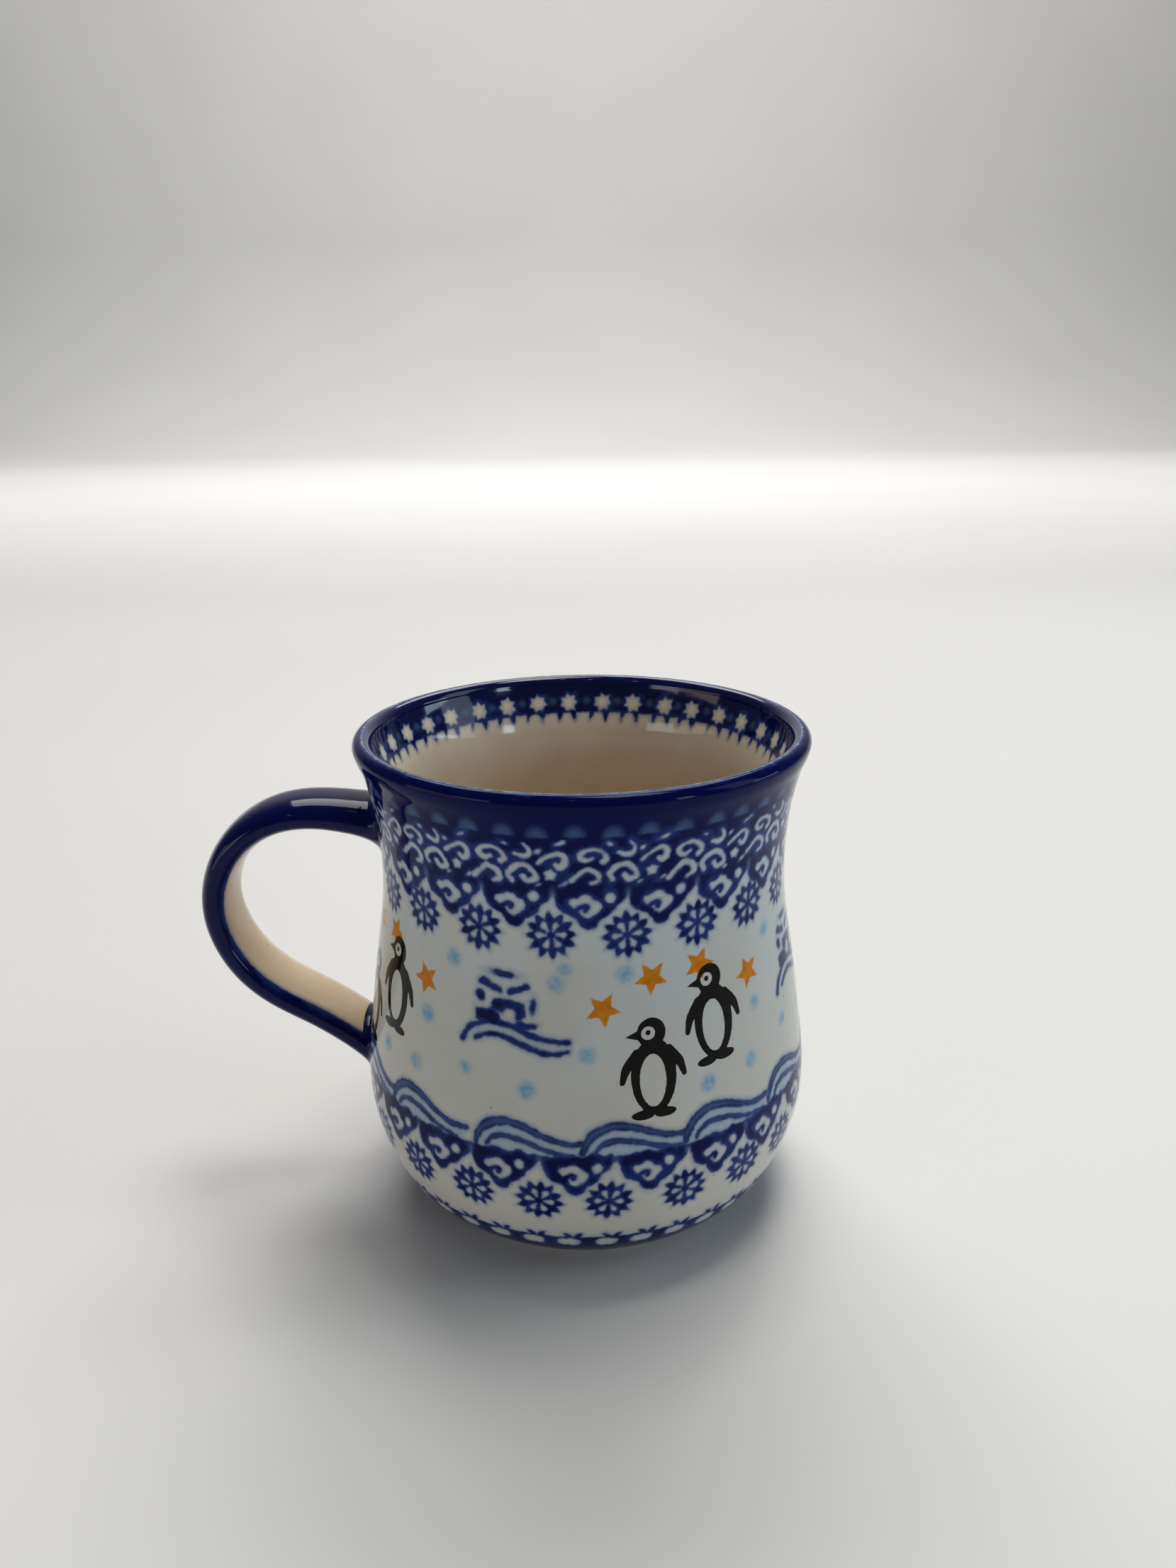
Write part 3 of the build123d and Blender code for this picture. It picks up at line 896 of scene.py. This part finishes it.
# ---------------------------------------------------------------- stage, lights and camera
CAMERA_DISTANCE = 227.84
CAMERA_HEIGHT = 162.83
CAMERA_PITCH, CAMERA_ROLL, CAMERA_YAW = 18.30, -0.70, -0.28
CAMERA_LENS, CAMERA_SENSOR = 27.34, 36.0
# The lights aim at this height on the mug's axis, in metres.
AIM_HEIGHT = 0.088


def make_camera():
    data = bpy.data.cameras.new("camera")
    data.lens = CAMERA_LENS
    data.sensor_width = CAMERA_SENSOR
    data.clip_start = 0.01
    camera = bpy.data.objects.new("camera", data)
    aim = Matrix.Rotation(math.radians(CAMERA_YAW), 4, "Z")
    aim @= Matrix.Rotation(math.radians(90 - CAMERA_PITCH), 4, "X")
    aim @= Matrix.Rotation(math.radians(CAMERA_ROLL), 4, "Z")
    camera.matrix_world = Matrix.Translation((0, -CAMERA_DISTANCE * MM, CAMERA_HEIGHT * MM)) @ aim
    bpy.context.scene.collection.objects.link(camera)
    bpy.context.scene.camera = camera


def make_backdrop():
    """A floor that curves up into a wall far behind the mug, in one sheet."""
    g = Graph("studio_paper")
    tone = g.mix(g.step(g.noise(400, 1), 0.3, 0.7), rgb(0.83, 0.815, 0.785), rgb(0.81, 0.795, 0.770))
    half, bend = 5.0, 1.6
    turns = np.radians(np.linspace(0, 90, 33))
    curve = np.stack([3.0 + bend * np.sin(turns), bend - bend * np.cos(turns)], axis=1)
    side = np.vstack([[(-3.0, 0.0)], curve, [(3.0 + bend, 6.0)]])
    vertices = [(x, y, z) for y, z in side.tolist() for x in (-half, half)]
    faces = [(2 * k, 2 * k + 1, 2 * k + 3, 2 * k + 2) for k in range(len(side) - 1)]
    mesh = bpy.data.meshes.new("studio_paper")
    mesh.from_pydata(vertices, [], faces)
    mesh.shade_smooth()
    mesh.materials.append(g.finish(tone, 0.7, 0.2))
    paper = bpy.data.objects.new("studio_paper", mesh)
    bpy.context.scene.collection.objects.link(paper)


def softbox(name, azimuth, elevation, distance, width, height, power, colour, tilt=0):
    """A rectangular light aimed at the mug, or turned away from it by tilt.

    Azimuth 0 is the camera's side and 90 its right. Angles are in degrees and sizes in metres.
    """
    data = bpy.data.lights.new(name, "AREA")
    data.shape = "RECTANGLE"
    data.size, data.size_y = width, height
    data.energy = power
    data.color = colour
    light = bpy.data.objects.new(name, data)
    a, e = math.radians(azimuth), math.radians(elevation)
    x, y, z = math.sin(a) * math.cos(e), -math.cos(a) * math.cos(e), math.sin(e)
    aim = Matrix.Rotation(a, 4, "Z") @ Matrix.Rotation(math.radians(90 + tilt) - e, 4, "X")
    light.matrix_world = Matrix.Translation((x * distance, y * distance, z * distance + AIM_HEIGHT)) @ aim
    bpy.context.scene.collection.objects.link(light)


def make_lights():
    world = bpy.data.worlds.new("studio")
    world.use_nodes = True
    background = world.node_tree.nodes["Background"]
    background.inputs["Color"].default_value = rgb(0.80, 0.86, 0.95)
    background.inputs["Strength"].default_value = 0.10
    bpy.context.scene.world = world
    softbox("top", 130, 78, 1.3, 0.5, 0.4, 6.0, (1.0, 0.97, 0.92))
    softbox("right", 82, 24, 1.1, 0.4, 0.8, 1.8, (0.80, 0.92, 1.0))
    softbox("left", -75, 6, 1.0, 0.5, 0.3, 0.7, (1.0, 0.86, 0.68))
    softbox("backdrop", 180, 50, 3.2, 2.5, 1.5, 60.0, (1.0, 1.0, 1.0))
    softbox("wall_wash", 180, 60, 2.6, 2.5, 0.6, 68.0, (1.0, 1.0, 1.0), tilt=-108)
    softbox("window_left", -52, 9, 1.1, 0.34, 0.28, 0.9, (0.86, 0.92, 1.0))
    softbox("window_right", 48, 9, 1.1, 0.15, 0.28, 1.1, (0.80, 0.92, 1.0))
    softbox("window_side", 95, 7, 1.1, 0.35, 0.14, 0.8, (0.62, 0.84, 1.0))
    for azimuth, elevation in ((-8, 62), (20, 70), (-40, 50), (165, 35)):
        softbox("lamp", azimuth, elevation, 1.2, 0.03, 0.03, 0.06, (1.0, 0.96, 0.9))
    bpy.context.scene.view_settings.view_transform = "Standard"


make_camera()
make_backdrop()
make_lights()
outside, pieces = make_walls()
pieces += make_foot()
strap = Strap(outside)
strap_glaze = strap_material()
pieces.append(make_handle(strap, strap_glaze))
pieces.append(make_joint("upper_luting_fillet", strap, True, (3.0, 6.5), (2.0, 3.6), strap_glaze,
                         "upper_slip_joint"))
pieces.append(make_joint("lower_luting_fillet", strap, False, (3.0, 2.2), (1.4, 1.8), strap_glaze,
                         "lower_slip_joint"))
for piece in pieces:
    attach(piece, "root")
